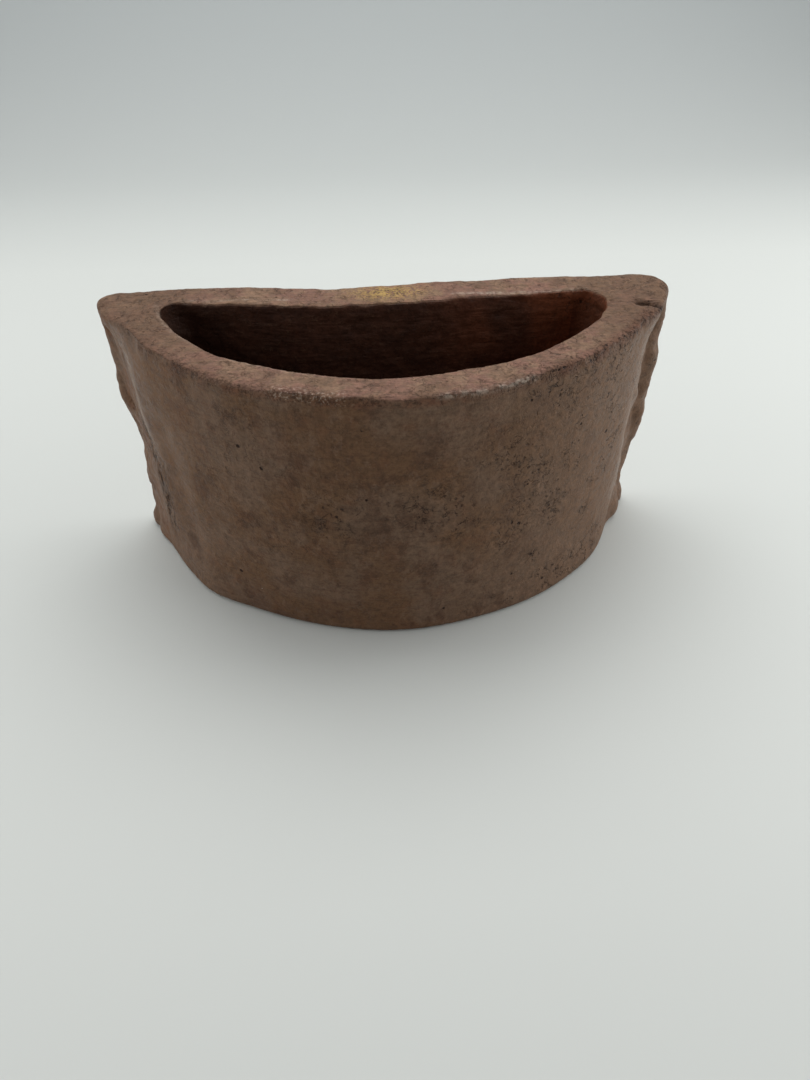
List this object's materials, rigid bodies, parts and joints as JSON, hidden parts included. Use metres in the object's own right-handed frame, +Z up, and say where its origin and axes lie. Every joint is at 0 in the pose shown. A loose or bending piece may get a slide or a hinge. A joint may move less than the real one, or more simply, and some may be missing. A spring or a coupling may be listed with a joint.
{
  "type": "half-moon bonsai pot",
  "caption": "Half-moon bonsai pot of unglazed brown clay: a bent wall luted to a thick back slab with torn ends, a flat rim and a drained floor.",
  "frame": {"origin": "middle of the pot's underside, on the surface it stands on", "axes": "+Z up out of the mouth, +X to the right along the flat back, +Y towards the back, so the bent wall faces -Y"},
  "size_m": [0.2494, 0.0929, 0.122],
  "materials": {
    "clay": "matte unglazed stoneware",
    "smeared_clay": "matte unglazed stoneware"
  },
  "bodies": {
    "root": {"back_slab": "clay", "front_wall": "clay", "floor_slab": "clay", "floor_coil": "smeared_clay", "corner_coil_left": "smeared_clay", "corner_coil_right": "smeared_clay"}
  },
  "joints": []
}
